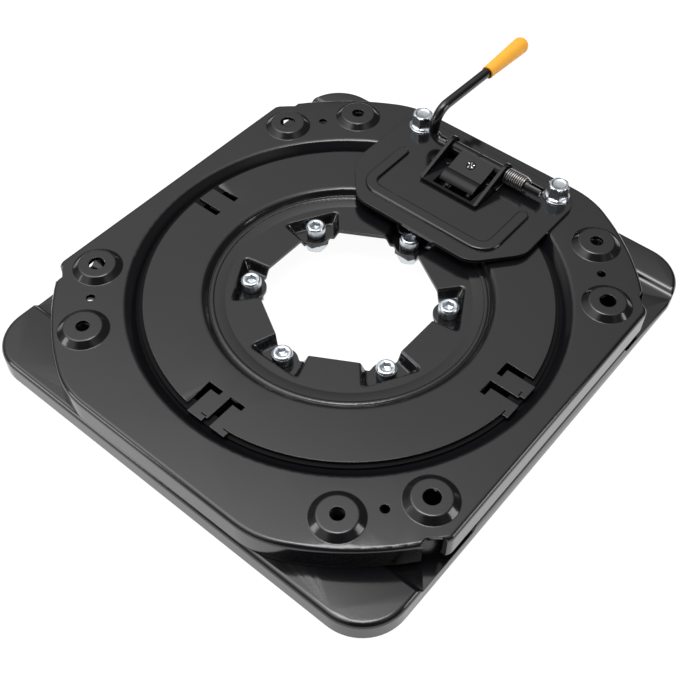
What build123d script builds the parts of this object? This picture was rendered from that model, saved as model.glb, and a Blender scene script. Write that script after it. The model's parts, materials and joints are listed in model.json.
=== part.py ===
from build123d import *
import os
from math import atan2, cos, degrees, hypot, pi, radians, sin, tan

os.makedirs("parts", exist_ok=True)

# A pressed steel swivel base for a seat. Millimetres. The origin lies on the swivel axis, in the plane
# that the lower plate stands on. X runs across the seat and +Y points at the latch.

# Sheet and fits
sheet = 3.0
running_gap = 0.05
glide_gap = 0.05
bolt_gap = 0.5

# Lower plate
base_length = 427.2
base_width = 387.2
base_corner = 37.0
base_bend = 4.2
base_top = 17.5
pad_top = 11.5
pad_wall_run = 6.0
pad_inner_x = 104.0
pad_overrun = 20.0
front_pad_span = (-158.0, -101.0)
rear_pad_span = (107.0, 179.0)
dome_foot_radius = 188.0
land_outer_radius = 176.0
land_inner_radius = 154.0
land_top = 26.7
centre_floor_radius = 140.0
centre_top = 19.8
base_hole_radius = 69.0
base_bolt_span = (330.0, 260.0)
base_bolt_hole = 11.0

# Glide rings, which hold the upper plate's lip between lower plate and slot disc
lower_glide = 2.25
upper_glide = 1.95
glide_outer_radius = 164.5
collar_wall = 2.75

# Upper plate
upper_step_x = 0.6
upper_step_y = 1.1
upper_length = base_length - 2 * upper_step_y
upper_width = base_width - 2 * upper_step_x
corner_circle_radius = 231.5
corner_blend = 75.0
corner_ease = 8.0
upper_bend = 3.8
shoulder_rise = 8.0
flange_clearance = 1.0
lip_inner_radius = 157.3
lip_outer_radius = 167.0
shoulder_bend = 12.0
lip_bend = 3.0
flange_overrun = 10.0
flange_notch = [(187.5, 131.0), (178.5, 139.0), (178.5, 144.5)]
boss_foot_radius = 20.0
boss_top_radius = 14.5
boss_rise = 4.5
boss_edge = 2.5
boss_foot_bend = 1.0
plain_boss_span = (330.0, 227.7)
plain_boss_hole = 13.0
threaded_boss_span = (249.7, 328.7)
vent_hole_span = (290.2, 278.4)
vent_hole = 7.0

# Slot disc
disc_radius = 161.5
hub_wall_top_radius = 115.0
hub_wall_foot_radius = 111.0
hub_wall_depth = 5.0
hub_bend = 6.0
ridge_radius = 108.2
ridge_half_width = 1.9
ridge_rise = 0.9
hub_step_radius = 103.0
hub_floor_radius = 98.0
hub_depth = 6.0
hub_hole_apothem = 67.5
screw_count = 6
screw_circle = 79.3
first_screw_angle = 30.0
screw_pad_neck = 13.0
screw_pad_width = 21.7
screw_pad_neck_radius = 64.0
screw_pad_shoulder_radius = 79.0
screw_pad_outer_radius = 88.5
screw_pad_corner = 4.0
screw_pad_slope = 24.0

# Locking slots in the disc, two on each side, set out from the latch's two prongs
prong_width = 3.0
prong_places = (-14.9, 6.9)
prong_thickness = 2.0
slot_foot_radius = 136.7
slot_foot_width = 4.4
slot_leg_width = 5.7
slot_sides = [(90, -5.1, 14.0), (-90, -5.1, 14.0), (0, 11.7, -13.6), (180, -3.95, 5.7)]
tooth_width = 14.2
tooth_reach = 4.0
relief_radius = 160.3
relief_length = 5.0
relief_width = 0.8

# M10 fasteners
thread = 10.0
socket_head_width = 16.0
socket_head_height = 10.0
socket_flats = 8.0
socket_depth = 5.0
nut_flats = 17.0
nut_height = 8.4
thread_past_nut = 2.0
flange_width = 24.0
flange_height = 3.0
bolt_head_flats = 16.0
bolt_head_height = 14.0

# Lock plate, with its U-shaped bead
lock_plate_width = 176.0
lock_plate_front = 79.0
lock_plate_rear = 199.0
lock_plate_corner = 18.0
lock_clip = (30.0, 36.0)
lock_clip_ease = 24.0
bead_spread = 124.6
bead_front = 97.0
bead_rear = 150.0
bead_corner = 14.0
bead_width = 10.5
bead_rise = 2.5
prong_window = (-18.5, 20.5, 134.0, 156.0)
lock_bolt_place = (71.0, 189.0)

# Latch bracket and lever
rod_thread_y = 175.5
rod_rise = 11.5
rod_width = 9.0
rod_right_end = 60.5
arm_x = -46.0
arm_rise = 27.6
rod_foot_bend = 8.0
rod_top_bend = 14.0
arm_end = 293.0
bracket_left = -30.5
bracket_right = 27.5
ear_radius = 9.5
bracket_front = 131.5
bracket_rear = 166.0
bracket_bend = 2.5
bracket_front_corner = 1.5
sleeve_width = 12.0
sleeve_end_gap = 0.3
latch_left = -16.0
latch_right = 18.0
latch_skirt_rise = 1.0
nose_y = 149.4
nose_z = 38.3
nose_radius = 12.0
nose_crest_back = 2.5
latch_pin_width = 4.0
rivet_width = 5.0
rivet_head_width = 7.5
rivet_head_height = 1.6
rivet_tail_height = 1.5
rivet_inset = 8.5
rivet_y = 161.7
spring_wire = 2.1
spring_width = 15.0
spring_turns = 9
spring_pitch = 2.2
spring_ear_gap = 0.4
end_slot_width = 2.6
end_slot_depth = 8.0
grip_start = 248.0
grip_end = 308.0
grip_root_width = 11.5
grip_tip_width = 15.5

# Levels that follow from the stack of sheets and rings
screw_pad_top = centre_top + sheet
lip_bottom = land_top + lower_glide + glide_gap
lip_top = lip_bottom + sheet
disc_bottom = lip_top + glide_gap + upper_glide
disc_top = disc_bottom + sheet
hub_step_top = disc_top - hub_wall_depth
hub_floor_top = disc_top - hub_depth
upper_top = lip_top + shoulder_rise
upper_flange_bottom = base_top + flange_clearance
boss_top = upper_top + boss_rise
lock_top = upper_top + sheet
bracket_top = lock_top + sheet
rod_y = rod_thread_y
rod_z = upper_top + rod_rise
rivet_places = [(bracket_left + rivet_inset, rivet_y), (bracket_right - rivet_inset, rivet_y)]


def edge_shift(inset, run, rise):
    """How far a sloping wall's edges move sideways on the other face of the sheet."""
    return inset * tan(atan2(rise, run) / 2)


def side_plane(angle, height):
    """A level plane whose X axis points outwards at an angle about the swivel axis."""
    outwards = (cos(radians(angle)), sin(radians(angle)), 0)
    return Plane(origin=(0, 0, height), x_dir=outwards, z_dir=(0, 0, 1))


def four_corners(span):
    return GridLocations(span[0], span[1], 2, 2)


# The lower plate is what lies between its outer form and the same form one sheet further in.
def tray_block(top, inset):
    """A block with the lower plate's outline and rounded top edge."""
    with BuildPart() as block:
        with BuildSketch(Plane.XY.offset(-inset)):
            RectangleRounded(base_width - 2 * inset, base_length - 2 * inset, base_corner - inset)
        extrude(amount=top)
        fillet(block.faces().sort_by(Axis.Z)[-1].edges(), base_bend - inset)
    return block.part


def dome_form(inset):
    """The round land and the sunk centre, filled down to the foot."""
    rise = land_top - base_top
    run = dome_foot_radius - land_outer_radius
    outer_shift = edge_shift(inset, run, rise)
    inner_shift = edge_shift(inset, land_inner_radius - centre_floor_radius, land_top - centre_top)
    pad_foot_radius = dome_foot_radius + (base_top - pad_top) * run / rise - outer_shift
    with BuildPart() as dome:
        with BuildSketch(Plane.XZ):
            with BuildLine():
                top_line = FilletPolyline(
                    (0, centre_top - inset),
                    (centre_floor_radius + inner_shift, centre_top - inset),
                    (land_inner_radius + inner_shift, land_top - inset),
                    (land_outer_radius - outer_shift, land_top - inset),
                    (pad_foot_radius, pad_top - inset),
                    radius=base_bend - inset / 2,
                )
                Polyline(top_line @ 1, (pad_foot_radius, -inset), (0, -inset), top_line @ 0)
            make_face()
        revolve(axis=Axis.Z)
        with BuildSketch(Plane.XY.offset(-inset)):
            Rectangle(base_width - 2 * inset - 2, base_length - 2 * inset - 2)
        extrude(amount=land_top + inset, mode=Mode.INTERSECT)
    return dome.part


def base_form(inset):
    """The lower plate's outer form, or the form one sheet further in."""
    wall_shift = edge_shift(inset, pad_wall_run, base_top - pad_top)
    slope = degrees(atan2(pad_wall_run, base_top - pad_top))
    with BuildPart() as form:
        add(tray_block(base_top, inset))
        for side in (-1, 1):
            for near, far in (front_pad_span, rear_pad_span):
                reach = base_width / 2 - pad_inner_x + pad_overrun
                with BuildSketch(Plane.XY.offset(pad_top - inset)):
                    with Locations((side * (pad_inner_x - wall_shift + reach / 2), (near + far) / 2)):
                        Rectangle(reach, far - near + 2 * wall_shift)
                extrude(amount=base_top, taper=-slope, mode=Mode.SUBTRACT)
        add(tray_block(pad_top, inset))
        add(dome_form(inset))
    return form.part


base_outside = base_form(0)
base_inside = base_form(sheet)
with BuildPart() as lower_plate:
    add(base_outside)
    add(base_inside, mode=Mode.SUBTRACT)
    with BuildSketch():
        Circle(base_hole_radius)
        with PolarLocations(screw_circle, screw_count, start_angle=first_screw_angle):
            Circle((thread + bolt_gap) / 2)
        with four_corners(base_bolt_span):
            Circle(base_bolt_hole / 2)
    extrude(amount=land_top, mode=Mode.SUBTRACT)
lower_plate.part.label = "lower_plate"
export_step(lower_plate.part, "parts/lower_plate.step")


# The slot disc: a flat rim, a sunk hub and six pads that reach down to the lower plate.
wall_run = hub_wall_top_radius - hub_wall_foot_radius
hub_shift = edge_shift(sheet, wall_run, hub_wall_depth)


def screw_pad_outline(angle, height, grow):
    """One screw pad's floor, open towards the hub's hole."""
    with BuildSketch(side_plane(angle, height)) as outline:
        Polygon(
            (hub_hole_apothem / 2, -screw_pad_neck),
            (screw_pad_neck_radius, -screw_pad_neck),
            (screw_pad_shoulder_radius, -screw_pad_width),
            (screw_pad_outer_radius, -screw_pad_width),
            (screw_pad_outer_radius, screw_pad_width),
            (screw_pad_shoulder_radius, screw_pad_width),
            (screw_pad_neck_radius, screw_pad_neck),
            (hub_hole_apothem / 2, screw_pad_neck),
            align=None,
        )
        Circle(screw_pad_outer_radius, mode=Mode.INTERSECT)
        rounded = outline.vertices().filter_by(lambda v: hypot(v.X, v.Y) > screw_pad_outer_radius - 0.1)
        fillet(rounded, screw_pad_corner)
        if grow:
            offset(amount=grow)
    return outline.sketch


screw_angles = [first_screw_angle + turn * 360 / screw_count for turn in range(screw_count)]
cup_floors = [screw_pad_outline(angle, screw_pad_top - sheet, sheet) for angle in screw_angles]
pocket_floors = [screw_pad_outline(angle, screw_pad_top, 0) for angle in screw_angles]
with BuildPart() as slot_disc:
    with BuildSketch(Plane.XZ) as disc_section:
        with BuildLine():
            Polyline(
                (disc_radius, disc_top),
                (hub_wall_top_radius, disc_top),
                (hub_wall_foot_radius, hub_step_top),
                (hub_step_radius, hub_step_top),
                (hub_floor_radius, hub_floor_top),
                (hub_hole_apothem / 2, hub_floor_top),
                (hub_hole_apothem / 2, hub_floor_top - sheet),
                (hub_floor_radius, hub_floor_top - sheet),
                (hub_step_radius, hub_step_top - sheet),
                (hub_wall_foot_radius + hub_shift, hub_step_top - sheet),
                (hub_wall_top_radius + hub_shift, disc_bottom),
                (disc_radius, disc_bottom),
                close=True,
            )
        make_face()
        bends = disc_section.vertices().filter_by(
            lambda v: hub_wall_top_radius - 0.1 < v.X < hub_wall_top_radius + hub_shift + 0.1
        )
        fillet(bends.sort_by(Axis.Y)[-1], hub_bend)
        fillet(bends.sort_by(Axis.Y)[0], hub_bend - sheet)
    revolve(axis=Axis.Z)
    with BuildSketch(Plane.XZ):
        with Locations((ridge_radius, hub_step_top)):
            Ellipse(ridge_half_width, ridge_rise)
    revolve(axis=Axis.Z)
    with BuildSketch(side_plane(0, disc_bottom)):
        for angle, edge, reach in slot_sides:
            toward = 1 if reach > 0 else -1
            if abs(reach) > slot_leg_width:
                for place in prong_places:
                    near = place + edge + toward * slot_leg_width
                    with Locations(Rot(0, 0, angle)):
                        with Locations((disc_radius, near + toward * tooth_width / 2)):
                            Rectangle(2 * tooth_reach, tooth_width)
    extrude(amount=sheet)
    for cup_floor in cup_floors:
        extrude(cup_floor, amount=hub_floor_top - screw_pad_top + sheet / 2, taper=-screw_pad_slope)
    for pocket_floor in pocket_floors:
        extrude(pocket_floor, amount=disc_top - screw_pad_top, taper=-screw_pad_slope, mode=Mode.SUBTRACT)
    with BuildSketch():
        RegularPolygon(hub_hole_apothem, 6, major_radius=False)
        Circle(base_hole_radius, mode=Mode.INTERSECT)
        with PolarLocations(screw_circle, screw_count, start_angle=first_screw_angle):
            Circle((thread + bolt_gap) / 2)
    extrude(amount=disc_top + 1, mode=Mode.SUBTRACT)
    with BuildSketch():
        for angle, edge, reach in slot_sides:
            toward = 1 if reach > 0 else -1
            leg_length = disc_radius + tooth_reach + 5 - slot_foot_radius
            for place in prong_places:
                start = place + edge
                tooth_end = start + toward * (slot_leg_width + tooth_width)
                with Locations(Rot(0, 0, angle)):
                    with Locations((slot_foot_radius + leg_length / 2, start + toward * slot_leg_width / 2)):
                        Rectangle(leg_length, slot_leg_width)
                    with Locations((slot_foot_radius + slot_foot_width / 2, start + reach / 2)):
                        Rectangle(slot_foot_width, abs(reach))
                    if abs(reach) > slot_leg_width:
                        with Locations((relief_radius, tooth_end - toward * relief_length / 2)):
                            Rectangle(relief_width, relief_length)
    extrude(amount=disc_top + 1, mode=Mode.SUBTRACT)
slot_disc.part.label = "slot_disc"
export_step(slot_disc.part, "parts/slot_disc.step")


# Glide rings
with BuildPart() as lower_glide_ring:
    with BuildSketch(Plane.XY.offset(land_top)):
        Circle(glide_outer_radius)
        Circle(lip_inner_radius - running_gap - collar_wall, mode=Mode.SUBTRACT)
    extrude(amount=lower_glide)
    with BuildSketch(Plane.XY.offset(land_top)):
        Circle(lip_inner_radius - running_gap)
        Circle(lip_inner_radius - running_gap - collar_wall, mode=Mode.SUBTRACT)
    extrude(amount=lip_top - land_top)
lower_glide_ring.part.label = "lower_glide_ring"
export_step(lower_glide_ring.part, "parts/lower_glide_ring.step")

with BuildPart() as upper_glide_ring:
    with BuildSketch(Plane.XY.offset(disc_bottom)):
        Circle(glide_outer_radius)
        Circle(lip_inner_radius - collar_wall, mode=Mode.SUBTRACT)
    extrude(amount=-upper_glide)
upper_glide_ring.part.label = "upper_glide_ring"
export_step(upper_glide_ring.part, "parts/upper_glide_ring.step")


# The screws and nuts that clamp the slot disc to the lower plate
nut_top = centre_top - sheet
for number, angle in enumerate(screw_angles):
    axis_plane = side_plane(angle, screw_pad_top)
    with BuildPart() as hub_screw:
        with BuildSketch(axis_plane):
            with Locations((screw_circle, 0)):
                Circle(socket_head_width / 2)
        extrude(amount=socket_head_height)
        fillet(hub_screw.faces().sort_by(Axis.Z)[-1].edges(), 1.0)
        with BuildSketch(axis_plane.offset(socket_head_height)):
            with Locations((screw_circle, 0)):
                RegularPolygon(socket_flats / 2, 6, major_radius=False)
        extrude(amount=-socket_depth, mode=Mode.SUBTRACT)
        with BuildSketch(axis_plane):
            with Locations((screw_circle, 0)):
                Circle(thread / 2)
        extrude(amount=-(2 * sheet + nut_height + thread_past_nut))
    hub_screw.part.label = f"hub_screw_{number + 1}"
    export_step(hub_screw.part, f"parts/hub_screw_{number + 1}.step")


def hex_nut(plane, place, flats, height):
    """A nut hanging down from a plane, with its outer corners chamfered and its bore left plain."""
    with BuildPart() as nut:
        with BuildSketch(plane):
            with Locations(place):
                RegularPolygon(flats / 2, 6, major_radius=False)
        extrude(amount=-height)
        with BuildSketch(plane):
            with Locations(place):
                Circle(flats * 0.56)
        extrude(amount=-height, mode=Mode.INTERSECT)
        with BuildSketch(plane):
            with Locations(place):
                Circle(thread / 2 + running_gap)
        extrude(amount=-height, mode=Mode.SUBTRACT)
    return nut.part


for number, angle in enumerate(screw_angles):
    hub_nut = hex_nut(side_plane(angle, nut_top), (screw_circle, 0), nut_flats, nut_height)
    hub_nut.label = f"hub_nut_{number + 1}"
    export_step(hub_nut, f"parts/hub_nut_{number + 1}.step")


# The upper plate: a flanged sheet, and inside it the shoulder and lip, turned about the swivel axis.
def upper_block(inset):
    """A block with the upper plate's outline and rounded top edge."""
    with BuildPart() as block:
        with BuildSketch(Plane.XY.offset(upper_flange_bottom - inset)) as outline:
            Rectangle(upper_width - 2 * inset, upper_length - 2 * inset)
            Circle(corner_circle_radius - inset, mode=Mode.INTERSECT)
            long_ends = outline.vertices().filter_by(lambda v: abs(v.Y) > upper_length / 2 - inset - 1)
            fillet(long_ends, corner_blend - inset)
            side_ends = outline.vertices().filter_by(lambda v: abs(v.X) > upper_width / 2 - inset - 1)
            fillet(side_ends, corner_ease)
        extrude(amount=upper_top - upper_flange_bottom)
        fillet(block.faces().sort_by(Axis.Z)[-1].edges(), upper_bend - inset)
    return block.part


def boss_cones(plane_height, inset, edge_round):
    """The bosses' cones, which stand on the sheet or hollow it from below."""
    shift = edge_shift(inset, boss_foot_radius - boss_top_radius, boss_rise)
    slope = degrees(atan2(boss_foot_radius - boss_top_radius, boss_rise))
    with BuildPart() as cones:
        with BuildSketch(Plane.XY.offset(plane_height)):
            with four_corners(plain_boss_span):
                Circle(boss_foot_radius - shift)
            with four_corners(threaded_boss_span):
                Circle(boss_foot_radius - shift)
        extrude(amount=boss_rise, taper=slope)
        fillet(cones.faces().group_by(Axis.Z)[-1].edges(), edge_round)
    return cones.part


upper_outside = upper_block(0)
upper_inside = upper_block(sheet)
boss_outsides = boss_cones(upper_top, 0, boss_edge)
boss_insides = boss_cones(upper_top - sheet, sheet, boss_foot_bend)
shoulder_outer_radius = lip_outer_radius + shoulder_rise + shoulder_bend
shoulder_shift = edge_shift(sheet, shoulder_rise, shoulder_rise)
weld_circle = hypot(threaded_boss_span[0] / 2, threaded_boss_span[1] / 2)
with BuildPart() as upper_plate:
    add(upper_outside)
    add(upper_inside, mode=Mode.SUBTRACT)
    with BuildSketch(Plane.XY.offset(upper_flange_bottom)):
        Circle(shoulder_outer_radius)
        for mirror_x in (-1, 1):
            for mirror_y in (-1, 1):
                inner = [(mirror_x * x, mirror_y * y) for x, y in flange_notch]
                past_edge = mirror_x * (upper_width / 2 + flange_overrun)
                outer = [(past_edge, inner[-1][1]), (past_edge, inner[0][1])]
                Polygon(*inner, *outer, align=None)
    extrude(amount=upper_top, mode=Mode.SUBTRACT)
    with BuildSketch(Plane.XZ) as shoulder_section:
        with BuildLine():
            Polyline(
                (shoulder_outer_radius, upper_top),
                (lip_outer_radius + shoulder_rise, upper_top),
                (lip_outer_radius, lip_top),
                (lip_inner_radius, lip_top),
                (lip_inner_radius, lip_bottom),
                (lip_outer_radius + shoulder_shift, lip_bottom),
                (lip_outer_radius + shoulder_rise + shoulder_shift, upper_top - sheet),
                (shoulder_outer_radius, upper_top - sheet),
                close=True,
            )
        make_face()
        corners = shoulder_section.vertices().sort_by(Axis.X)
        fillet(corners[2], lip_bend)
        fillet(shoulder_section.vertices().sort_by(Axis.X)[-3], shoulder_bend - sheet)
        fillet(
            shoulder_section.vertices().filter_by(
                lambda v: abs(v.Y - upper_top) < 0.1 and v.X < shoulder_outer_radius - 1
            ),
            shoulder_bend,
        )
        fillet(
            shoulder_section.vertices().filter_by(
                lambda v: abs(v.Y - lip_bottom) < 0.1 and v.X > lip_outer_radius
            ),
            lip_bend + sheet,
        )
    revolve(axis=Axis.Z)
    add(boss_outsides)
    add(boss_insides, mode=Mode.SUBTRACT)
    boss_feet = upper_plate.edges().filter_by(GeomType.CIRCLE).filter_by(
        lambda e: abs(e.radius - boss_foot_radius) < 0.1 and abs(e.center().Z - upper_top) < 0.1
    )
    fillet(boss_feet, boss_foot_bend)
    with BuildSketch(Plane.XY.offset(upper_flange_bottom)):
        with four_corners(plain_boss_span):
            Circle(plain_boss_hole / 2)
        with four_corners(threaded_boss_span):
            Circle((thread + bolt_gap) / 2)
        with four_corners(vent_hole_span):
            Circle(vent_hole / 2)
        with Locations(lock_bolt_place, (-lock_bolt_place[0], lock_bolt_place[1])):
            Circle((thread + bolt_gap) / 2)
    extrude(amount=upper_top, mode=Mode.SUBTRACT)
upper_plate.part.label = "upper_plate"
export_step(upper_plate.part, "parts/upper_plate.step")

for number, corner in enumerate(four_corners(threaded_boss_span)):
    place = (corner.position.X, corner.position.Y)
    weld_nut = hex_nut(Plane.XY.offset(boss_top - sheet), place, nut_flats, nut_height)
    weld_nut.label = f"weld_nut_{number + 1}"
    export_step(weld_nut, f"parts/weld_nut_{number + 1}.step")


# The lock plate, held on the upper plate by two flange bolts. Its bead is hollow underneath.
def lock_bead(height, inset):
    """The U-shaped bead, open towards the rear, with rounded edges."""
    half = bead_spread / 2
    with BuildPart() as bead:
        with BuildSketch(Plane.XY.offset(height)):
            with BuildLine():
                FilletPolyline(
                    (-half, bead_rear), (-half, bead_front), (half, bead_front), (half, bead_rear),
                    radius=bead_corner,
                )
                offset(amount=bead_width / 2 - inset)
            make_face()
        extrude(amount=bead_rise)
        fillet(bead.faces().sort_by(Axis.Z)[-1].edges(), bead_rise * 0.7)
    return bead.part


bead_outside = lock_bead(lock_top, 0)
bead_inside = lock_bead(upper_top, sheet / 2)
half_lock = lock_plate_width / 2
with BuildPart() as lock_plate:
    with BuildSketch(Plane.XY.offset(upper_top)) as lock_outline:
        Polygon(
            (-half_lock, lock_plate_rear),
            (-half_lock, lock_plate_front + lock_clip[1]),
            (lock_clip[0] - half_lock, lock_plate_front),
            (half_lock - lock_clip[0], lock_plate_front),
            (half_lock, lock_plate_front + lock_clip[1]),
            (half_lock, lock_plate_rear),
            align=None,
        )
        rear_corners = lock_outline.vertices().filter_by(lambda v: v.Y > lock_plate_rear - 1)
        fillet(rear_corners, lock_plate_corner)
        clip_corners = lock_outline.vertices().filter_by(
            lambda v: v.Y < lock_plate_front + lock_clip[1] + 1
        )
        fillet(clip_corners, lock_clip_ease)
    extrude(amount=sheet)
    add(bead_outside)
    add(bead_inside, mode=Mode.SUBTRACT)
    with BuildSketch(Plane.XY.offset(upper_top)):
        window_left, window_right, window_front, window_rear = prong_window
        window_place = ((window_left + window_right) / 2, (window_front + window_rear) / 2)
        with Locations(window_place):
            Rectangle(window_right - window_left, window_rear - window_front)
        with Locations(lock_bolt_place, (-lock_bolt_place[0], lock_bolt_place[1])):
            Circle((thread + bolt_gap) / 2)
        with Locations(*rivet_places):
            Circle(rivet_width / 2)
    extrude(amount=2 * sheet, mode=Mode.SUBTRACT)
lock_plate.part.label = "lock_plate"
export_step(lock_plate.part, "parts/lock_plate.step")

for number, side in enumerate((-1, 1)):
    place = (side * lock_bolt_place[0], lock_bolt_place[1])
    with BuildPart() as flange_bolt:
        with BuildSketch(Plane.XY.offset(lock_top)):
            with Locations(place):
                RegularPolygon(bolt_head_flats / 2, 6, major_radius=False)
        extrude(amount=bolt_head_height)
        with BuildSketch(Plane.XY.offset(lock_top)):
            with Locations(place):
                Circle(bolt_head_flats * 0.56)
        extrude(amount=bolt_head_height, mode=Mode.INTERSECT)
        with BuildSketch(Plane.XY.offset(lock_top)):
            with Locations(place):
                Circle(flange_width / 2)
        extrude(amount=flange_height, taper=30)
        with BuildSketch(Plane.XY.offset(lock_top + bolt_head_height)):
            with Locations(place):
                Circle(bolt_head_flats * 0.36)
        extrude(amount=-flange_height / 2, taper=20, mode=Mode.SUBTRACT)
        with BuildSketch(Plane.XY.offset(lock_top)):
            with Locations(place):
                Circle(thread / 2)
        extrude(amount=-(2 * sheet + nut_height + thread_past_nut))
    flange_bolt.part.label = f"flange_bolt_{number + 1}"
    export_step(flange_bolt.part, f"parts/flange_bolt_{number + 1}.step")
    flange_nut = hex_nut(Plane.XY.offset(upper_top - sheet), place, nut_flats, nut_height)
    flange_nut.label = f"flange_nut_{number + 1}"
    export_step(flange_nut, f"parts/flange_nut_{number + 1}.step")


# The latch bracket: a folded base with an ear on each side that carries the rod.
rod_hole = rod_width / 2 + running_gap
bracket_width = bracket_right - bracket_left
bracket_middle = (bracket_left + bracket_right) / 2
with BuildPart() as latch_bracket:
    with BuildSketch(Plane.YZ.offset(bracket_left)):
        with Locations((rod_y, rod_z)):
            Circle(ear_radius)
        with Locations(((bracket_front + bracket_rear) / 2, lock_top + sheet / 2)):
            Rectangle(bracket_rear - bracket_front, sheet)
        make_hull()
        with Locations((rod_y, lock_top + bracket_width / 2)):
            Rectangle(2 * bracket_width, bracket_width, mode=Mode.INTERSECT)
    extrude(amount=bracket_width)
    with BuildSketch(Plane.YZ.offset(bracket_left + sheet)):
        with Locations(((bracket_front + bracket_rear) / 2, bracket_top + bracket_width / 2)):
            Rectangle(2 * bracket_width, bracket_width)
        with Locations((bracket_rear + bracket_width / 2, rod_z)):
            Rectangle(bracket_width, bracket_width)
    extrude(amount=bracket_width - 2 * sheet, mode=Mode.SUBTRACT)
    with BuildSketch(Plane.XY.offset(lock_top)):
        with Locations((bracket_middle, (bracket_front + bracket_rear) / 2)):
            Rectangle(bracket_width - 3 * bracket_bend, bracket_rear - bracket_front)
    extrude(amount=sheet)
    lower_bends = latch_bracket.edges().filter_by(Axis.Y).filter_by(
        lambda e: abs(e.center().Z - lock_top) < 0.1
        and abs(abs(e.center().X - bracket_middle) - bracket_width / 2) < 0.1
    )
    fillet(lower_bends, bracket_bend)
    front_corners = latch_bracket.edges().filter_by(Axis.Z).filter_by(
        lambda e: abs(e.center().Y - bracket_front) < 0.1
    )
    fillet(front_corners, bracket_front_corner)
    with BuildSketch(Plane.YZ.offset(bracket_left)):
        with Locations((rod_y, rod_z)):
            Circle(rod_hole)
    extrude(amount=bracket_width, mode=Mode.SUBTRACT)
    with BuildSketch(Plane.XY.offset(lock_top)):
        with Locations(window_place):
            Rectangle(window_right - window_left, window_rear - window_front)
        with Locations(*rivet_places):
            Circle(rivet_width / 2)
    extrude(amount=sheet, mode=Mode.SUBTRACT)
latch_bracket.part.label = "latch_bracket"
export_step(latch_bracket.part, "parts/latch_bracket.step")

for number, (rivet_x, rivet_back) in enumerate(rivet_places):
    rivet_foot = Plane(origin=(rivet_x, rivet_back, bracket_top))
    with BuildPart() as bracket_rivet:
        with BuildSketch(rivet_foot):
            Circle(rivet_head_width / 2)
        extrude(amount=rivet_head_height)
        fillet(bracket_rivet.faces().sort_by(Axis.Z)[-1].edges(), rivet_head_height * 0.8)
        with BuildSketch(rivet_foot):
            Circle(rivet_width / 2)
        extrude(amount=-2 * sheet)
        with BuildSketch(rivet_foot.offset(-2 * sheet)):
            Circle(rivet_head_width / 2)
        extrude(amount=-rivet_tail_height)
    bracket_rivet.part.label = f"bracket_rivet_{number + 1}"
    export_step(bracket_rivet.part, f"parts/bracket_rivet_{number + 1}.step")


# The lever rod runs through both ears, bends up outside the left one and runs back to the grip.
arm_z = rod_z + arm_rise
with BuildPart() as lever_rod:
    with BuildLine() as rod_route:
        shaft = Line((rod_right_end, rod_y, rod_z), (arm_x + rod_foot_bend, rod_y, rod_z))
        foot_bend = TangentArc(shaft @ 1, (arm_x, rod_y, rod_z + rod_foot_bend), tangent=shaft % 1)
        rise = Line(foot_bend @ 1, (arm_x, rod_y, arm_z - rod_top_bend))
        top_bend = TangentArc(rise @ 1, (arm_x, rod_y + rod_top_bend, arm_z), tangent=rise % 1)
        Line(top_bend @ 1, (arm_x, arm_end, arm_z))
    with BuildSketch(Plane(origin=(rod_right_end, rod_y, rod_z), z_dir=(-1, 0, 0))):
        Circle(rod_width / 2)
    sweep()
    with BuildSketch(Plane.YZ.offset(rod_right_end)):
        with Locations((rod_y, rod_z)):
            Rectangle(end_slot_width, 2 * rod_width)
    extrude(amount=-end_slot_depth, mode=Mode.SUBTRACT)
    with BuildSketch(Plane.XY.offset(rod_z - rod_width)):
        with Locations((0, rod_y)):
            Circle(latch_pin_width / 2)
    extrude(amount=2 * rod_width, mode=Mode.SUBTRACT)
lever_rod.part.label = "lever_rod"
export_step(lever_rod.part, "parts/lever_rod.step")


# The latch: a sleeve on the rod and a sheet that slopes to the front, rounds over and ends in two prongs.
sleeve_radius = sleeve_width / 2
sleeve_left = bracket_left + sheet + sleeve_end_gap
sleeve_right = bracket_right - sheet - sleeve_end_gap
nose_outer_radius = nose_radius + prong_thickness / 2
nose_inner_radius = nose_radius - prong_thickness / 2
crest_top = nose_z + (nose_outer_radius**2 - nose_crest_back**2) ** 0.5
crest_under = nose_z + (nose_inner_radius**2 - nose_crest_back**2) ** 0.5


def latch_side(position, lowest):
    """The latch sheet seen from the side, down to a given height."""
    with BuildSketch(Plane.YZ.offset(position)) as side:
        with Locations((nose_y, nose_z)):
            Circle(nose_outer_radius)
            Circle(nose_inner_radius, mode=Mode.SUBTRACT)
        with Locations((nose_y + nose_crest_back - nose_outer_radius, lowest + nose_outer_radius)):
            Rectangle(2 * nose_outer_radius, 2 * nose_outer_radius, mode=Mode.INTERSECT)
        Polygon(
            (rod_y, rod_z + sleeve_radius),
            (nose_y + nose_crest_back, crest_top),
            (nose_y + nose_crest_back, crest_under),
            (rod_y, rod_z + sleeve_radius - prong_thickness),
            align=None,
        )
    return side.sketch


latch_sheet_side = latch_side(latch_left, bracket_top + latch_skirt_rise)
prong_sides = [latch_side(-place - prong_width / 2, nose_z) for place in prong_places]
with BuildPart() as latch:
    with BuildSketch(Plane.YZ.offset(sleeve_left)):
        with Locations((rod_y, rod_z)):
            Circle(sleeve_radius)
    extrude(amount=sleeve_right - sleeve_left)
    extrude(latch_sheet_side, amount=latch_right - latch_left)
    for prong_side in prong_sides:
        extrude(prong_side, amount=prong_width)
    with BuildSketch(Plane.YZ.offset(sleeve_left)):
        with Locations((rod_y, rod_z)):
            Circle(rod_hole)
    extrude(amount=sleeve_right - sleeve_left, mode=Mode.SUBTRACT)
    with BuildSketch(Plane.XY.offset(rod_z - sleeve_width)):
        with Locations((0, rod_y)):
            Circle(latch_pin_width / 2)
    extrude(amount=2 * sleeve_width, mode=Mode.SUBTRACT)
latch.part.label = "latch"
export_step(latch.part, "parts/latch.step")

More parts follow.
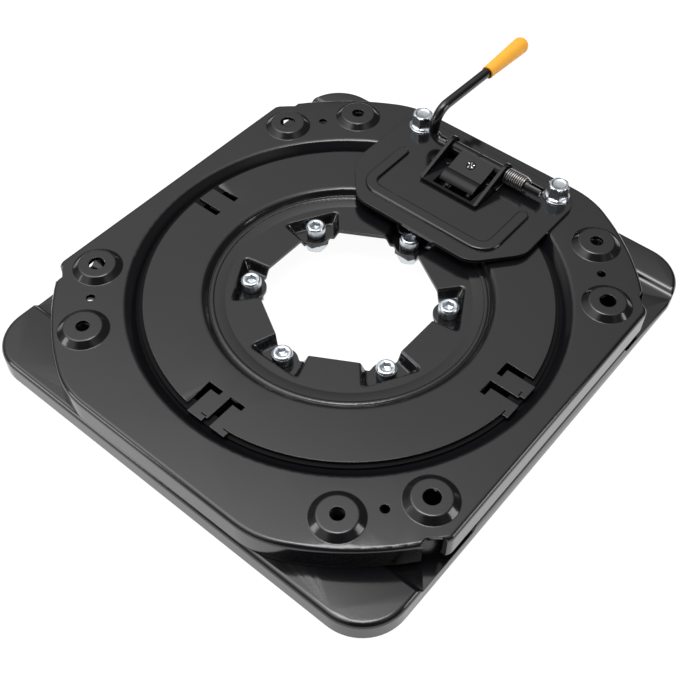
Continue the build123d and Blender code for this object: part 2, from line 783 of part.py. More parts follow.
with BuildPart() as latch_pin:
    with BuildSketch(Plane.XY.offset(rod_z - sleeve_radius)):
        with Locations((0, rod_y)):
            Circle(latch_pin_width / 2)
    extrude(amount=sleeve_width + 0.6)
    fillet(latch_pin.faces().sort_by(Axis.Z)[-1].edges(), 0.5)
latch_pin.part.label = "latch_pin"
export_step(latch_pin.part, "parts/latch_pin.step")


# The torsion spring, wound round the rod outside the right ear
coil_radius = (spring_width - spring_wire) / 2
coil_start = bracket_right + spring_ear_gap + spring_wire / 2
coil_length = spring_turns * spring_pitch
with BuildPart() as torsion_spring:
    with BuildLine() as spring_route:
        coil = Helix(
            pitch=spring_pitch,
            height=coil_length,
            radius=coil_radius,
            center=(coil_start, rod_y, rod_z),
            direction=(1, 0, 0),
        )
    with BuildSketch(Plane(origin=coil @ 0, z_dir=coil % 0)):
        RegularPolygon(spring_wire / 2, 8)
    sweep(is_frenet=True)
torsion_spring.part.label = "torsion_spring"
export_step(torsion_spring.part, "parts/torsion_spring.step")


# The grip, a dipped plastic sleeve on the arm's end
grip_length = grip_end - grip_start
with BuildPart() as lever_grip:
    with BuildSketch(Plane(origin=(arm_x, grip_start, arm_z), x_dir=(0, 1, 0), z_dir=(1, 0, 0))):
        with BuildLine():
            arm_depth = arm_end - grip_start
            Line((0, rod_hole), (0, grip_root_width / 2))
            Line((0, grip_root_width / 2), (grip_length - grip_tip_width / 2, grip_tip_width / 2))
            RadiusArc(
                (grip_length - grip_tip_width / 2, grip_tip_width / 2), (grip_length, 0), grip_tip_width / 2
            )
            Polyline((grip_length, 0), (arm_depth, 0), (arm_depth, rod_hole), (0, rod_hole))
        make_face()
    revolve(axis=Axis((arm_x, grip_start, arm_z), (0, 1, 0)))
lever_grip.part.label = "lever_grip"
export_step(lever_grip.part, "parts/lever_grip.step")
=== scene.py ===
import bmesh
import bpy
import json
from math import atan2, cos, hypot, pi, radians, sin, tan
from mathutils import Matrix, Vector


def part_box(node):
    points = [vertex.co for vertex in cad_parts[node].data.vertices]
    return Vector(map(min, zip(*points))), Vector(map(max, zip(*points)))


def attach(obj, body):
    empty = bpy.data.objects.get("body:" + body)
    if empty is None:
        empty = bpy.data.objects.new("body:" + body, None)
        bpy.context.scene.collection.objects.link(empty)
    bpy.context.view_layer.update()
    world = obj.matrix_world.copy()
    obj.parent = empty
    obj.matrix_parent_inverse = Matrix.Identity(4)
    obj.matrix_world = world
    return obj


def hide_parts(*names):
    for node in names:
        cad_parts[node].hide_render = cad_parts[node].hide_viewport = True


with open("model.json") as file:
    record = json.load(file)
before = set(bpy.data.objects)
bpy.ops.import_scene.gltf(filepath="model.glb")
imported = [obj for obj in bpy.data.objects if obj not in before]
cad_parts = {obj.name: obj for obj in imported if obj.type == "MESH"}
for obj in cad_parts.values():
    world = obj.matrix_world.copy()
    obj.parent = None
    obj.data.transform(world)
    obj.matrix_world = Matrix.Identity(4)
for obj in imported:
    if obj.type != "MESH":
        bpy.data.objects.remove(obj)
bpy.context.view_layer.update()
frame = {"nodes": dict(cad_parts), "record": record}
scene = bpy.context.scene
MM = 0.001


# Camera, at the photograph's viewpoint
CAMERA_PLACE = Vector((0.3447, -0.4357, 0.6552))
CAMERA_TURN = Vector((2.332, 0.847, -0.288))
CAMERA_LENS = 55.83

# Brightness of the studio by the cosine of the angle from a point nearly overhead
OVERHEAD = Vector((-0.25, -0.1, 0.96)).normalized()
SKY = [
    (0.0, 0.06), (0.45, 0.14), (0.62, 0.55), (0.72, 0.78),
    (0.82, 1.0), (0.88, 1.6), (0.93, 2.8), (1.0, 4.0),
]
SKY_PEAK = 4.0
SOFTBOX_WIDTH = 0.5
MIDDLE = Vector((0, 0, 0.04))
SIDE_POWER = 3.5
TOP_POWER = 5

# M10 fasteners, in millimetres
THREAD_RADIUS = 5.0
THREAD_PITCH = 1.5
SOCKET_FLATS = 8.0
SOCKET_DEPTH = 5.0
SCREW_HEAD_RADIUS = 8.0
SCREW_HEAD_HEIGHT = 10.0
KNURL_RIBS = 54
KNURL_WIDTH = 0.55
NUT_FLATS = 17.0
BOLT_FLATS = 16.0
BOLT_FLANGE_RADIUS = 11.3
BOLT_FLANGE_HEIGHT = 3.0
BOLT_HEAD_HEIGHT = 14.0

# Upper plate's shoulder and lower plate's hole, in millimetres and degrees
SHEET = 3.0
SHOULDER_CORNER = 175.0
SHOULDER_BEND = 12.0
SHOULDER_CRISP = 4.0
SHOULDER_SLOPE = 45.0
BEND_REACH = 0.08
LOBE_RADIUS = 69.2
HOLE_RADIUS = 83.0
LOBE_HALF_ANGLE = 5.5
LOBE_EASE = 5.0
CUTTER_HEIGHT = 30.0

# Pressed hub with its six pads, in millimetres
HUB_SEAM = 97.0
SEAM_OVERLAP = 0.6
HUB_TOP = 31.0
HOLE_APOTHEM = 67.5
PAD_TOP = 22.8
PAD_OUTER = 85.6
PAD_OUTER_HALF = 17.8
PAD_INNER_HALF = 11.5
PAD_WALL = 5.2
SCREW_CIRCLE = 79.3
PAD_END_RADIUS = 12.0
PAD_END_BLEND = 4.0
PAD_CORNER_BLEND = 5.0

# Torsion spring, in millimetres
SPRING_TURNS = 9.5
STEPS_A_TURN = 40
SPRING_WIRE_RADIUS = 0.62
SPRING_LENGTH = 19.5
SPRING_RADIUS = 7.0
SPRING_FOOT = 15.0
SPRING_CROSSING = 5.5

# Lever rod, in millimetres
ROD_RADIUS = 4.5
ROD_END_X = 63.0
ROD_SLOT = 12.0
ROD_SLOT_WIDTH = 2.6
ROD_IN_GRIP = 30.0
RISER_LEAN = 1.5
ROD_FOOT_X = -49.5
ROD_FOOT_BEND = 9.0
ROD_TOP_BEND = 15.0

# Small things on the latch, in millimetres
STAKE_Y = 162.8
STAKE_RADIUS = 4.2
LATCH_SLOPE = atan2(6.4, 23.6)
LATCH_FALL = 0.273
LATCH_ABOVE_ROD = 6.0
COLLAR_RADIUS = 5.3

# Worn punch marks on the stake, as angle, distance and size
PUNCH_MARKS = [
    (25, 2.5, 1.0), (100, 2.3, 0.7), (160, 2.8, 1.1), (215, 1.6, 0.6),
    (250, 2.9, 0.9), (320, 2.2, 1.2), (60, 0.6, 0.6),
]


def add_camera():
    """The photograph's camera. Its turn is a rotation vector from the object's frame to the lens's."""
    turn = Matrix.Rotation(CAMERA_TURN.length, 3, CAMERA_TURN.normalized())
    facing = turn.transposed() @ Matrix.Diagonal((1, -1, -1))
    data = bpy.data.cameras.new("photo_camera")
    data.lens = CAMERA_LENS
    data.sensor_width = 36
    data.clip_start = 0.01
    camera = bpy.data.objects.new("photo_camera", data)
    camera.matrix_world = Matrix.Translation(CAMERA_PLACE) @ facing.to_4x4()
    scene.collection.objects.link(camera)
    scene.camera = camera


# Node helpers
def new_material(name):
    material = bpy.data.materials.new(name)
    material.use_nodes = True
    return material, material.node_tree.nodes, material.node_tree.links


def noise(nodes, links, coordinates, scale, detail=3.0, roughness=0.55):
    texture = nodes.new("ShaderNodeTexNoise")
    texture.inputs["Scale"].default_value = scale
    texture.inputs["Detail"].default_value = detail
    texture.inputs["Roughness"].default_value = roughness
    links.new(coordinates, texture.inputs["Vector"])
    return texture.outputs["Fac"]


def spread(nodes, links, value, low, high, from_low=0.3, from_high=0.7):
    """Maps a texture value onto a range."""
    mapping = nodes.new("ShaderNodeMapRange")
    mapping.inputs["From Min"].default_value = from_low
    mapping.inputs["From Max"].default_value = from_high
    mapping.inputs["To Min"].default_value = low
    mapping.inputs["To Max"].default_value = high
    links.new(value, mapping.inputs["Value"])
    return mapping.outputs["Result"]


def two_colours(nodes, links, factor, first, second):
    mix = nodes.new("ShaderNodeMix")
    mix.data_type = "RGBA"
    mix.inputs["A"].default_value = (*first, 1)
    mix.inputs["B"].default_value = (*second, 1)
    links.new(factor, mix.inputs["Factor"])
    return mix.outputs["Result"]


def bump(nodes, links, height, strength, distance, normal=None):
    node = nodes.new("ShaderNodeBump")
    node.inputs["Strength"].default_value = strength
    node.inputs["Distance"].default_value = distance
    links.new(height, node.inputs["Height"])
    if normal is not None:
        links.new(normal, node.inputs["Normal"])
    return node.outputs["Normal"]


def soft_edges(nodes, radius):
    """Shades the sheet's cut edges and pressed corners as slightly rounded."""
    node = nodes.new("ShaderNodeBevel")
    node.samples = 6
    node.inputs["Radius"].default_value = radius
    return node.outputs["Normal"]


def object_coordinates(nodes):
    return nodes.new("ShaderNodeTexCoord").outputs["Object"]


# Materials
def black_paint(name, edge_radius, gloss, sheen=0.5, shade_dull_radius=0):
    """Black dip coat on pressed steel, with fine orange peel and uneven gloss.

    Inside the radius given in metres by the last argument, the shine is taken away: painted shade that
    keeps the shoulder ring dark."""
    material, nodes, links = new_material(name)
    shader = nodes["Principled BSDF"]
    place = object_coordinates(nodes)
    cloud = noise(nodes, links, place, 9, 4)
    grain = noise(nodes, links, place, 1500, 2)
    peel = noise(nodes, links, place, 380, 2)
    links.new(two_colours(nodes, links, cloud, (0.004, 0.004, 0.005), (0.007, 0.007, 0.008)),
              shader.inputs["Base Color"])
    shader.inputs["Specular IOR Level"].default_value = sheen
    # Painted shade: less shine inside the radius, so that the shoulder ring looks dark.
    if shade_dull_radius:
        split = nodes.new("ShaderNodeSeparateXYZ")
        flat = nodes.new("ShaderNodeCombineXYZ")
        reach = nodes.new("ShaderNodeVectorMath")
        reach.operation = "LENGTH"
        links.new(place, split.inputs["Vector"])
        links.new(split.outputs["X"], flat.inputs["X"])
        links.new(split.outputs["Y"], flat.inputs["Y"])
        links.new(flat.outputs["Vector"], reach.inputs[0])
        edge = (shade_dull_radius - 0.001, shade_dull_radius + 0.002)
        dulled_shine = spread(nodes, links, reach.outputs["Value"], 0.03, sheen, *edge)
        links.new(dulled_shine, shader.inputs["Specular IOR Level"])
    links.new(spread(nodes, links, cloud, gloss, gloss + 0.05), shader.inputs["Roughness"])
    edges = soft_edges(nodes, edge_radius)
    fine = bump(nodes, links, grain, 0.05, 0.0001, edges)
    links.new(bump(nodes, links, peel, 0.07, 0.0002, fine), shader.inputs["Normal"])
    return material


def zinc_plate():
    """Bright bluish zinc on the screws, nuts and bolts."""
    material, nodes, links = new_material("zinc_plate")
    shader = nodes["Principled BSDF"]
    place = object_coordinates(nodes)
    cloud = noise(nodes, links, place, 210, 3)
    grain = noise(nodes, links, place, 2600, 2)
    links.new(two_colours(nodes, links, cloud, (0.54, 0.58, 0.62), (0.72, 0.75, 0.78)),
              shader.inputs["Base Color"])
    links.new(spread(nodes, links, cloud, 0.2, 0.36), shader.inputs["Roughness"])
    links.new(bump(nodes, links, grain, 0.12, 0.0001), shader.inputs["Normal"])
    shader.inputs["Metallic"].default_value = 1.0
    return material


def spring_steel():
    """Drawn spring wire, slightly bronzed and uneven."""
    material, nodes, links = new_material("spring_steel")
    shader = nodes["Principled BSDF"]
    place = object_coordinates(nodes)
    cloud = noise(nodes, links, place, 240, 3)
    links.new(two_colours(nodes, links, cloud, (0.32, 0.30, 0.29), (0.52, 0.50, 0.49)),
              shader.inputs["Base Color"])
    links.new(spread(nodes, links, cloud, 0.24, 0.38), shader.inputs["Roughness"])
    shader.inputs["Metallic"].default_value = 1.0
    return material


def glide_plastic():
    """Black greased nylon of the glide rings."""
    material, nodes, links = new_material("glide_plastic")
    shader = nodes["Principled BSDF"]
    place = object_coordinates(nodes)
    grain = noise(nodes, links, place, 900, 2)
    links.new(two_colours(nodes, links, grain, (0.005, 0.005, 0.005), (0.009, 0.009, 0.009)),
              shader.inputs["Base Color"])
    links.new(spread(nodes, links, grain, 0.5, 0.62), shader.inputs["Roughness"])
    shader.inputs["Specular IOR Level"].default_value = 0.05
    return material


def yellow_grip():
    """Dipped orange-yellow vinyl, a little translucent and slightly uneven."""
    material, nodes, links = new_material("yellow_grip")
    shader = nodes["Principled BSDF"]
    place = object_coordinates(nodes)
    cloud = noise(nodes, links, place, 60, 3)
    grain = noise(nodes, links, place, 1500, 2)
    links.new(two_colours(nodes, links, cloud, (0.94, 0.41, 0.03), (1.0, 0.48, 0.045)),
              shader.inputs["Base Color"])
    links.new(spread(nodes, links, cloud, 0.34, 0.48), shader.inputs["Roughness"])
    links.new(bump(nodes, links, grain, 0.10, 0.0001), shader.inputs["Normal"])
    shader.inputs["Subsurface Weight"].default_value = 0.08
    shader.inputs["Subsurface Radius"].default_value = (0.002, 0.001, 0.0005)
    return material


FINISHES = {
    "black_paint": black_paint("black_paint", 0.0007, 0.10, 0.62),
    # A copy of the black paint with less sheen: painted shade for the latch area.
    "shaded_latch_paint": black_paint("shaded_latch_paint", 0.0004, 0.08, 0.2),
    # The black paint with its shine taken away inside the shoulder ring: painted shade.
    "shade_dulled_paint": black_paint("shade_dulled_paint", 0.0007, 0.10, 0.62, 0.169),
    "zinc_steel": zinc_plate(),
    "spring_steel": spring_steel(),
    "glide_plastic": glide_plastic(),
    "grip_plastic": yellow_grip(),
}

# The pieces in a copy of the black paint with less sheen: painted shade for the dark latch area
SHADED_LATCH_GROUP = ("bracket_rivet_1", "bracket_rivet_2", "latch_pin", "latch", "latch_bracket")


def paint_nodes():
    """Gives every carried-over piece its finish."""
    for part in frame["record"]["subparts"]:
        node = frame["nodes"][part["node"]]
        finish = "shaded_latch_paint" if part["node"] in SHADED_LATCH_GROUP else part["material_slot"]
        for place in node.material_slots:
            place.material = FINISHES[finish]


# Mesh helpers
def turned(name, rings, sides=96):
    """A closed turned body. A ring is (height, radius), or (height, radius, flats) for a hexagon cut to
    that radius. Rings run from the outer bottom edge over the top, and on down into a recess."""
    points = []
    for ring in rings:
        height, radius, flats = (*ring, 0)[:3]
        for step in range(sides):
            angle = 2 * pi * step / sides
            reach = radius
            if flats:
                past_flat = (angle + pi / 6) % (pi / 3) - pi / 6
                reach = min(radius, flats / 2 / cos(past_flat))
            points.append((reach * cos(angle) * MM, reach * sin(angle) * MM, height * MM))
    faces = []
    for ring in range(len(rings) - 1):
        for step in range(sides):
            first = ring * sides + step
            second = ring * sides + (step + 1) % sides
            faces.append((first, second, second + sides, first + sides))
    last = (len(rings) - 1) * sides
    faces.append(tuple(reversed(range(sides))))
    faces.append(tuple(range(last, last + sides)))
    mesh = bpy.data.meshes.new(name)
    mesh.from_pydata(points, [], faces)
    return mesh


def joined(name, parts, finish):
    """One object made of several (mesh, placement) parts, with outward normals and crisp corners."""
    build = bmesh.new()
    for mesh, placement in parts:
        copy = mesh.copy()
        copy.transform(placement)
        build.from_mesh(copy)
        bpy.data.meshes.remove(copy)
    bmesh.ops.recalc_face_normals(build, faces=build.faces)
    mesh = bpy.data.meshes.new(name)
    build.to_mesh(mesh)
    build.free()
    mesh.materials.clear()
    mesh.materials.append(finish)
    mesh.polygons.foreach_set("material_index", [0] * len(mesh.polygons))
    mesh.shade_smooth()
    mesh.set_sharp_from_angle(angle=radians(32))
    piece = bpy.data.objects.new(name, mesh)
    scene.collection.objects.link(piece)
    return piece


def stands_for(piece, node):
    """The piece takes a CAD node's place and body; the node is hidden."""
    for body, names in frame["record"]["behaviour"]["bodies"].items():
        if node in names:
            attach(piece, body)
    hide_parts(node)


def middle(node):
    low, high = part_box(node)
    return (Vector(low) + Vector(high)) / 2


# Geometry Nodes helpers
def new_tree(name, numbers):
    """A tree with a geometry input, named numbers and a mesh output."""
    tree = bpy.data.node_groups.new(name, "GeometryNodeTree")
    tree.interface.new_socket("Start", in_out="INPUT", socket_type="NodeSocketGeometry")
    for number in numbers:
        tree.interface.new_socket(number, in_out="INPUT", socket_type="NodeSocketFloat")
    tree.interface.new_socket("Result", in_out="OUTPUT", socket_type="NodeSocketGeometry")
    return tree, tree.nodes.new("NodeGroupInput").outputs


def end_tree(tree, geometry, finish):
    """Realizes what a tree made, gives it its finish and hands it out."""
    realize = tree.nodes.new("GeometryNodeRealizeInstances")
    paint = tree.nodes.new("GeometryNodeSetMaterial")
    paint.inputs["Material"].default_value = finish
    end = tree.nodes.new("NodeGroupOutput")
    tree.links.new(geometry, realize.inputs["Geometry"])
    tree.links.new(realize.outputs["Geometry"], paint.inputs["Geometry"])
    tree.links.new(paint.outputs["Geometry"], end.inputs["Result"])
    return tree


def calculate(tree, operation, first, second):
    node = tree.nodes.new("ShaderNodeMath")
    node.operation = operation
    for socket, value in zip(node.inputs, (first, second)):
        if isinstance(value, (int, float)):
            socket.default_value = value
        else:
            tree.links.new(value, socket)
    return node.outputs["Value"]


def swept_round(tree, curve, radius, sides):
    """A round wire along a curve, closed at its ends."""
    section = tree.nodes.new("GeometryNodeCurvePrimitiveCircle")
    section.inputs["Resolution"].default_value = sides
    sweep = tree.nodes.new("GeometryNodeCurveToMesh")
    sweep.inputs["Fill Caps"].default_value = True
    tree.links.new(radius, section.inputs["Radius"])
    tree.links.new(curve, sweep.inputs["Curve"])
    tree.links.new(section.outputs["Curve"], sweep.inputs["Profile Curve"])
    return sweep.outputs["Mesh"]


def thread_tree(finish):
    """A rolled thread: a round ridge that climbs a cylinder."""
    tree, given = new_tree("rolled_thread", ("Turns", "Pitch", "Radius", "Ridge Radius"))
    spiral = tree.nodes.new("GeometryNodeCurveSpiral")
    spiral.inputs["Resolution"].default_value = 36
    tree.links.new(given["Turns"], spiral.inputs["Rotations"])
    tree.links.new(given["Radius"], spiral.inputs["Start Radius"])
    tree.links.new(given["Radius"], spiral.inputs["End Radius"])
    tree.links.new(calculate(tree, "MULTIPLY", given["Turns"], given["Pitch"]), spiral.inputs["Height"])
    return end_tree(tree, swept_round(tree, spiral.outputs["Curve"], given["Ridge Radius"], 6), finish)


def knurl_tree(finish):
    """Upright ribs round a screw's head."""
    tree, given = new_tree("knurl", ("Ribs", "Radius", "Height", "Rib Width"))
    circle = tree.nodes.new("GeometryNodeMeshCircle")
    rib = tree.nodes.new("GeometryNodeMeshCube")
    rib_size = tree.nodes.new("ShaderNodeCombineXYZ")
    turn = tree.nodes.new("ShaderNodeCombineXYZ")
    index = tree.nodes.new("GeometryNodeInputIndex")
    copies = tree.nodes.new("GeometryNodeInstanceOnPoints")
    tree.links.new(given["Ribs"], circle.inputs["Vertices"])
    tree.links.new(given["Radius"], circle.inputs["Radius"])
    tree.links.new(given["Rib Width"], rib_size.inputs["X"])
    tree.links.new(given["Rib Width"], rib_size.inputs["Y"])
    tree.links.new(given["Height"], rib_size.inputs["Z"])
    tree.links.new(rib_size.outputs["Vector"], rib.inputs["Size"])
    step = calculate(tree, "DIVIDE", 2 * pi, given["Ribs"])
    around = calculate(tree, "MULTIPLY", index.outputs["Index"], step)
    tree.links.new(calculate(tree, "ADD", around, pi / 4), turn.inputs["Z"])
    tree.links.new(circle.outputs["Mesh"], copies.inputs["Points"])
    tree.links.new(rib.outputs["Mesh"], copies.inputs["Instance"])
    tree.links.new(turn.outputs["Vector"], copies.inputs["Rotation"])
    return end_tree(tree, copies.outputs["Instances"], finish)


def wire_tree(finish):
    """A round wire along a drawn route."""
    tree, given = new_tree("wire_on_route", ("Wire Radius",))
    curve = tree.nodes.new("GeometryNodeMeshToCurve")
    tree.links.new(given["Start"], curve.inputs["Mesh"])
    return end_tree(tree, swept_round(tree, curve.outputs["Curve"], given["Wire Radius"], 16), finish)


def grown(tree, name, numbers, route=()):
    """Runs a tree once and keeps its result as a plain mesh."""
    start = bpy.data.meshes.new(name)
    start.from_pydata(list(route), [(i, i + 1) for i in range(len(route) - 1)], [])
    carrier = bpy.data.objects.new(name, start)
    scene.collection.objects.link(carrier)
    modifier = carrier.modifiers.new("tree", "NODES")
    modifier.node_group = tree
    for socket in tree.interface.items_tree:
        if socket.name in numbers:
            modifier[socket.identifier] = numbers[socket.name]
    mesh = bpy.data.meshes.new_from_object(carrier.evaluated_get(bpy.context.evaluated_depsgraph_get()))
    carrier.modifiers.remove(modifier)
    bpy.data.objects.remove(carrier)
    return mesh


# The two pressed plates, finer than their solids
def copy_of(node):
    """A CAD node's mesh, welded where its faces meet."""
    mesh = frame["nodes"][node].data.copy()
    mesh.transform(frame["nodes"][node].matrix_world)
    build = bmesh.new()
    build.from_mesh(mesh)
    bmesh.ops.remove_doubles(build, verts=build.verts, dist=2e-6)
    build.to_mesh(mesh)
    build.free()
    return mesh


def with_flat_faces(piece):
    """Lets the large faces rule the shading, so that sheet metal looks flat between its bends."""
    weigh = piece.modifiers.new("weigh", "WEIGHTED_NORMAL")
    weigh.keep_sharp = True
    mesh = bpy.data.meshes.new_from_object(piece.evaluated_get(bpy.context.evaluated_depsgraph_get()))
    piece.modifiers.remove(weigh)
    piece.data = mesh
    return piece


def add_upper_plate():
    """The upper plate with a crisper bend where its flat turns down to the shoulder."""
    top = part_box("lock_plate")[0][2]
    mesh = copy_of("upper_plate")
    half_bend = tan(radians(SHOULDER_SLOPE / 2))
    steepest = sin(radians(SHOULDER_SLOPE))
    for below in (0, SHEET):
        old, new = SHOULDER_BEND - below, SHOULDER_CRISP - below
        level = top - below * MM
        corner = SHOULDER_CORNER + below * half_bend
        centre = corner + old * half_bend
        for vertex in mesh.vertices:
            place = vertex.co
            reach = hypot(place.x, place.y) / MM
            sine = (centre - reach) / old
            if not -1e-3 < sine < steepest + 1e-4:
                continue
            drop = 1 - (1 - sine * sine) ** 0.5
            if abs(place.z - (level - old * drop * MM)) > BEND_REACH * MM:
                continue
            moved = corner + new * (half_bend - sine)
            place.x *= moved / reach
            place.y *= moved / reach
            place.z = level - new * drop * MM
    # Painted shade: the plate's paint loses its shine inside the shoulder ring, so that the ring looks
    # dark.
    plate = joined("upper_plate_look", [(mesh, Matrix())], FINISHES["shade_dulled_paint"])
    stands_for(with_flat_faces(plate), "upper_plate")


def eased(share):
    """Runs smoothly from 0 to 1 and stays there."""
    share = min(1, max(0, share))
    return share * share * (3 - 2 * share)


def soft_least(first, second, blend):
    """The lower of two values, with the change from one to the other rounded."""
    share = max(0, blend - abs(first - second)) / blend
    return min(first, second) - share * share * blend / 4


def hub_hole(angle):
    """The hole's radius: a hexagon between the pads, and round each screw the rounded end of its pad."""
    from_flat = (angle + pi / 6) % (pi / 3) - pi / 6
    from_pad = pi / 6 - abs(from_flat)
    across = SCREW_CIRCLE * sin(from_pad)
    hexagon = HOLE_APOTHEM / cos(from_flat)
    if across >= PAD_END_RADIUS:
        return hexagon
    end = SCREW_CIRCLE * cos(from_pad) - (PAD_END_RADIUS**2 - across**2) ** 0.5
    return soft_least(hexagon, end, PAD_END_BLEND)


def hub_height(angle, reach):
    """Height of the hub's upper face: its floor, and six pads with sloping walls."""
    from_pad = angle % (pi / 3) - pi / 6
    along, across = reach * cos(from_pad), abs(reach * sin(from_pad))
    lean = atan2(PAD_OUTER_HALF - PAD_INNER_HALF, PAD_OUTER - HOLE_APOTHEM)
    beside = (across - PAD_OUTER_HALF) * cos(lean) + (PAD_OUTER - along) * sin(lean)
    outside = -soft_least(PAD_OUTER - along, -beside, PAD_CORNER_BLEND)
    return PAD_TOP + (HUB_TOP - PAD_TOP) * eased(outside / PAD_WALL)


def pressed_hub(around=600, rings=40):
    """The hub's sheet from its hole to the seam with the disc."""
    points = []
    for step in range(around):
        angle = 2 * pi * step / around
        inner = hub_hole(angle)
        places = [(inner + (HUB_SEAM + SEAM_OVERLAP - inner) * ring / rings) for ring in range(rings + 1)]
        column = [(reach, hub_height(angle, reach)) for reach in places]
        column += [(reach, height - SHEET) for reach, height in reversed(column)]
        across, along = cos(angle) * MM, sin(angle) * MM
        points += [(reach * across, reach * along, height * MM) for reach, height in column]
    count = 2 * (rings + 1)
    faces = []
    for step in range(around):
        along = (step + 1) % around * count
        for place in range(count):
            up = (place + 1) % count
            faces.append((step * count + place, along + place, along + up, step * count + up))
    mesh = bpy.data.meshes.new("hub")
    mesh.from_pydata(points, [], faces)
    return mesh


def combined(first, second, operation):
    """Two meshes added to or cut from each other."""
    base = bpy.data.objects.new("base", first)
    tool = bpy.data.objects.new("tool", second)
    for part in (base, tool):
        scene.collection.objects.link(part)
    change = base.modifiers.new("change", "BOOLEAN")
    change.operation = operation
    change.object = tool
    mesh = bpy.data.meshes.new_from_object(base.evaluated_get(bpy.context.evaluated_depsgraph_get()))
    for part in (base, tool):
        bpy.data.objects.remove(part)
    return mesh


def add_slot_disc():
    """The slot disc with a smoothly pressed hub."""
    cutter = turned("seam", [(0, HUB_SEAM), (2 * CUTTER_HEIGHT, HUB_SEAM)], 720)
    rim = combined(copy_of("slot_disc"), cutter, "DIFFERENCE")
    mesh = combined(rim, pressed_hub(), "UNION")
    plate = joined("slot_disc_look", [(mesh, Matrix())], FINISHES["black_paint"])
    stands_for(with_flat_faces(plate), "slot_disc")


def add_lower_plate():
    """The lower plate with its hole cut back between the screws, so that lobes stay under the pads."""
    outline = []
    for step in range(360):
        angle = radians(step)
        nearest = min(abs((step - 30 - 60 * pad + 180) % 360 - 180) for pad in range(6))
        share = eased((nearest - LOBE_HALF_ANGLE) / LOBE_EASE)
        reach = (LOBE_RADIUS + (HOLE_RADIUS - LOBE_RADIUS) * share) * MM
        outline.append((reach * cos(angle), reach * sin(angle)))
    points = [(x, y, z) for z in (0.0, CUTTER_HEIGHT * MM) for x, y in outline]
    count = len(outline)
    faces = [(i, (i + 1) % count, (i + 1) % count + count, i + count) for i in range(count)]
    faces += [tuple(reversed(range(count))), tuple(range(count, 2 * count))]
    cutter_mesh = bpy.data.meshes.new("hole")
    cutter_mesh.from_pydata(points, [], faces)
    mesh = combined(copy_of("lower_plate"), cutter_mesh, "DIFFERENCE")
    plate = joined("lower_plate_look", [(mesh, Matrix())], FINISHES["black_paint"])
    stands_for(with_flat_faces(plate), "lower_plate")


# Fasteners
def thread(turns, radius=THREAD_RADIUS, ridge=0.5):
    """A thread that climbs from height 0."""
    return grown(THREAD_TREE, "thread", {
        "Turns": turns, "Pitch": THREAD_PITCH * MM,
        "Radius": (radius - ridge) * MM, "Ridge Radius": ridge * MM,
    })


def shank(length):
    """A threaded shank's core from height 0 down to its chamfered end."""
    core = THREAD_RADIUS - 0.6
    return turned("shank", [(-length, core - 0.6), (-length + 1.2, core), (0, core)], 48)


def add_hub_screws():
    """Socket head screws with a knurled side and a hexagon socket."""
    head_radius = SCREW_HEAD_RADIUS - 0.25
    top = SCREW_HEAD_HEIGHT
    socket_rim = SOCKET_FLATS / 2 / cos(pi / 6) + 0.35
    head = turned("screw_head", [
        (0, head_radius - 0.7), (0.5, head_radius),
        (top - 1.6, head_radius), (top - 1.3, head_radius - 0.05),
        (top - 0.5, head_radius - 0.55), (top - 0.12, head_radius - 0.95), (top, head_radius - 1.5),
        (top, socket_rim), (top - 0.35, socket_rim, SOCKET_FLATS),
        (top - SOCKET_DEPTH, socket_rim, SOCKET_FLATS),
        (top - SOCKET_DEPTH - 0.9, 0.4),
    ])
    ribs_height = top - 2.6
    ribs = grown(KNURL_TREE, "knurl", {
        "Ribs": float(KNURL_RIBS), "Radius": head_radius * MM,
        "Height": ribs_height * MM, "Rib Width": KNURL_WIDTH * MM,
    })
    for number in range(1, 7):
        node = f"hub_screw_{number}"
        low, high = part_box(node)
        seat = Vector((middle(node).x, middle(node).y, high[2] - SCREW_HEAD_HEIGHT * MM))
        length = (seat.z - low[2]) / MM
        placed = Matrix.Translation(seat) @ Matrix.Rotation(number * 0.7, 4, "Z")
        ribs_placed = placed @ Matrix.Translation((0, 0, (0.7 + ribs_height / 2) * MM))
        thread_placed = Matrix.Translation(seat - Vector((0, 0, (length - 1.0) * MM)))
        turns = (length - 2.0) / THREAD_PITCH
        screw = joined(f"{node}_look", [
            (head, placed), (ribs, ribs_placed), (shank(length), placed), (thread(turns), thread_placed),
        ], FINISHES["zinc_steel"])
        stands_for(screw, node)


def nut_body(height):
    """A hexagon nut from height 0 down, with both faces chamfered and a countersunk bore."""
    corner = NUT_FLATS / 2 / cos(pi / 6)
    face = NUT_FLATS / 2 - 0.3
    bore = THREAD_RADIUS - 0.1
    return [
        (-height, bore + 0.5), (-height, face, NUT_FLATS), (-height + 0.45, face + 0.6, NUT_FLATS),
        (-height + 1.0, corner, NUT_FLATS), (-1.0, corner, NUT_FLATS), (-0.45, face + 0.6, NUT_FLATS),
        (0, face, NUT_FLATS), (0, bore + 0.5), (-0.5, bore), (-height + 0.5, bore), (-height, bore + 0.5),
    ]


def ring_body(name, rings, sides=96):
    """Like a turned body, but open through its middle: the last ring is the first one again."""
    mesh = turned(name, rings, sides)
    build = bmesh.new()
    build.from_mesh(mesh)
    build.faces.ensure_lookup_table()
    bmesh.ops.delete(build, geom=build.faces[-2:], context="FACES_ONLY")
    bmesh.ops.remove_doubles(build, verts=build.verts, dist=1e-7)
    build.to_mesh(mesh)
    build.free()
    return mesh


